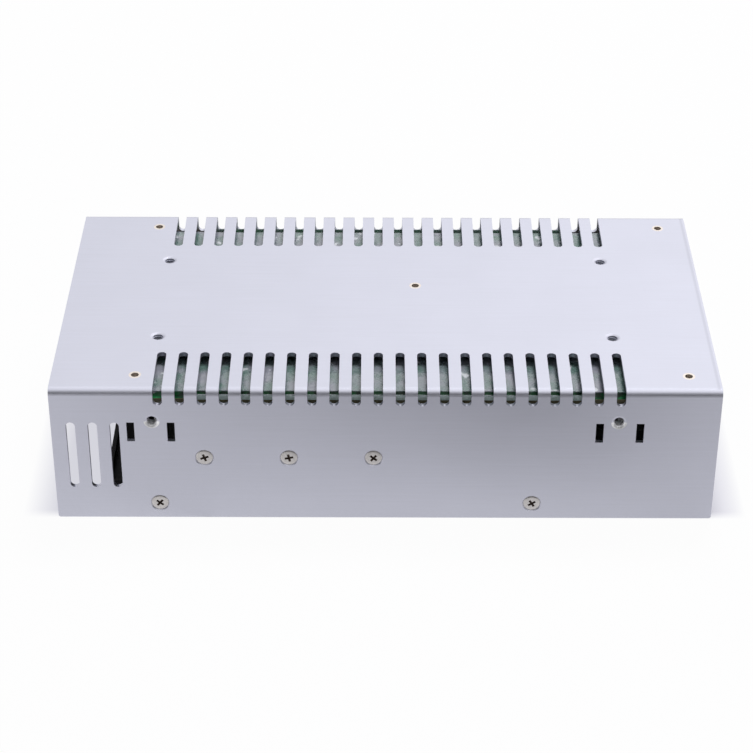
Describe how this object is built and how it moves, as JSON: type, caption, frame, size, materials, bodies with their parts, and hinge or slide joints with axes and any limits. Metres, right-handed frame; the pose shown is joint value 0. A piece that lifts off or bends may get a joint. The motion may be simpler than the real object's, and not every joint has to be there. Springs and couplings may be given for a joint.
{
  "type": "mesh case switching power supply",
  "caption": "Flat fan-cooled switching power supply in a folded aluminium chassis with slotted long edges, a perforated cover and a recessed screw terminal strip.",
  "frame": {"origin": "centre of the case's footprint, on the cover's outer face, which is the face it lies on", "axes": "+X along the case from the terminal end to the fan end, +Y towards the wall with the voltage selector, +Z from the perforated cover to the plain base plate, which is uppermost"},
  "size_m": [0.215, 0.115, 0.05],
  "materials": {
    "chassis": "plain mill-finish aluminium sheet with a faint grain along the case",
    "mesh_cover": "zinc-plated perforated steel sheet, satin",
    "cover_screws": "bright plated steel screw, satin",
    "standoffs": "turned brass, satin",
    "insulating_film": "milky translucent polyester film",
    "circuit_board": "green solder-resist board with soldered joints",
    "board_screws": "plated steel, satin",
    "component_leads": "tinned copper wire",
    "terminal_block": "black moulded plastic, faint sheen",
    "terminal_plates": "tinned brass",
    "terminal_clamps": "plated steel, satin",
    "terminal_screws": "plated steel, satin",
    "terminal_lid": "black moulded plastic, faint sheen",
    "trimmer_body": "blue moulded plastic",
    "trimmer_rotor": "white moulded plastic",
    "power_led": "tinted clear resin",
    "fan_frame": "black moulded plastic",
    "fan_stator": "enamelled copper wire",
    "fan_rotor": "black moulded plastic",
    "fan_screws": "blackened steel",
    "fan_lead_red": "insulated wire",
    "fan_lead_black": "insulated wire",
    "fan_plug": "natural moulded nylon",
    "fan_header": "natural moulded nylon",
    "selector_body": "black moulded plastic",
    "selector_plate": "plated steel sheet",
    "selector_slider": "red moulded plastic",
    "selector_screws": "bright plated steel screw, satin",
    "front_heat_bar": "plain aluminium",
    "rear_heat_bar": "plain aluminium",
    "front_bar_screws": "bright plated steel screw, satin",
    "rear_bar_screws": "bright plated steel screw, satin",
    "thermal_pads": "soft grey pad",
    "switching_transistors": "black epoxy",
    "rectifier_diodes": "black epoxy",
    "device_screws": "plated steel, satin",
    "transformer_core": "dark grey ferrite",
    "transformer_bobbin": "black moulded plastic",
    "transformer_winding": "yellow tape",
    "choke_core": "painted iron powder ring",
    "choke_winding": "enamelled copper wire",
    "filter_core": "painted ferrite ring",
    "filter_windings": "enamelled copper wire",
    "filter_base": "black moulded plastic",
    "mains_capacitor": "yellow moulded box",
    "safety_capacitors": "blue dipped resin",
    "fuse_glass": "clear glass tube",
    "fuse_caps": "plated brass",
    "fuse_clips": "plated brass",
    "inrush_thermistor": "dark green dipped resin",
    "bridge_rectifier": "black epoxy",
    "bridge_heatsink": "plain aluminium",
    "reservoir_capacitors": "dark blue shrink sleeve on an aluminium can",
    "output_capacitors": "dark green shrink sleeve on an aluminium can",
    "control_capacitors": "black shrink sleeve on an aluminium can",
    "drive_transformer": "yellow tape",
    "control_chips": "black epoxy",
    "power_resistors": "grey lacquer",
    "small_resistors": "tan lacquer"
  },
  "bodies": {
    "power_supply": {"chassis": "chassis", "mesh_cover": "mesh_cover", "cover_screws": "cover_screws", "standoffs": "standoffs", "insulating_film": "insulating_film", "circuit_board": "circuit_board", "board_screws": "board_screws", "component_leads": "component_leads", "terminal_block": "terminal_block", "terminal_plates": "terminal_plates", "terminal_clamps": "terminal_clamps", "terminal_screws": "terminal_screws", "trimmer_body": "trimmer_body", "power_led": "power_led", "fan_frame": "fan_frame", "fan_stator": "fan_stator", "fan_screws": "fan_screws", "fan_lead_red": "fan_lead_red", "fan_lead_black": "fan_lead_black", "fan_plug": "fan_plug", "fan_header": "fan_header", "selector_body": "selector_body", "selector_plate": "selector_plate", "selector_screws": "selector_screws", "front_heat_bar": "front_heat_bar", "rear_heat_bar": "rear_heat_bar", "front_bar_screws": "front_bar_screws", "rear_bar_screws": "rear_bar_screws", "thermal_pads": "thermal_pads", "switching_transistors": "switching_transistors", "rectifier_diodes": "rectifier_diodes", "device_screws": "device_screws", "transformer_core": "transformer_core", "transformer_bobbin": "transformer_bobbin", "transformer_winding": "transformer_winding", "choke_core": "choke_core", "choke_winding": "choke_winding", "filter_core": "filter_core", "filter_windings": "filter_windings", "filter_base": "filter_base", "mains_capacitor": "mains_capacitor", "safety_capacitors": "safety_capacitors", "fuse_glass": "fuse_glass", "fuse_caps": "fuse_caps", "fuse_clips": "fuse_clips", "inrush_thermistor": "inrush_thermistor", "bridge_rectifier": "bridge_rectifier", "bridge_heatsink": "bridge_heatsink", "reservoir_capacitors": "reservoir_capacitors", "output_capacitors": "output_capacitors", "control_capacitors": "control_capacitors", "drive_transformer": "drive_transformer", "control_chips": "control_chips", "power_resistors": "power_resistors", "small_resistors": "small_resistors"},
    "fan_rotor": {"fan_rotor": "fan_rotor"},
    "terminal_lid": {"terminal_lid": "terminal_lid"},
    "trimmer_rotor": {"trimmer_rotor": "trimmer_rotor"},
    "selector_slider": {"selector_slider": "selector_slider"}
  },
  "joints": [
    {"name": "fan_spin", "type": "hinge", "parent": "power_supply", "child": "fan_rotor", "pos_m": [0.0695, 0, 0.008], "axis": [0, 0, 1], "continuous": true},
    {"name": "lid_flip", "type": "hinge", "parent": "power_supply", "child": "terminal_lid", "pos_m": [-0.073, 0, 0.006], "axis": [0, -1, 0], "range_deg": [0, 95]},
    {"name": "voltage_trim", "type": "hinge", "parent": "power_supply", "child": "trimmer_rotor", "pos_m": [-0.0732, 0.0485, 0.038], "axis": [0, 0, 1], "range_deg": [-130, 130]},
    {"name": "voltage_select", "type": "slide", "parent": "power_supply", "child": "selector_slider", "axis": [1, 0, 0], "range_m": [0, 0.0055]}
  ]
}
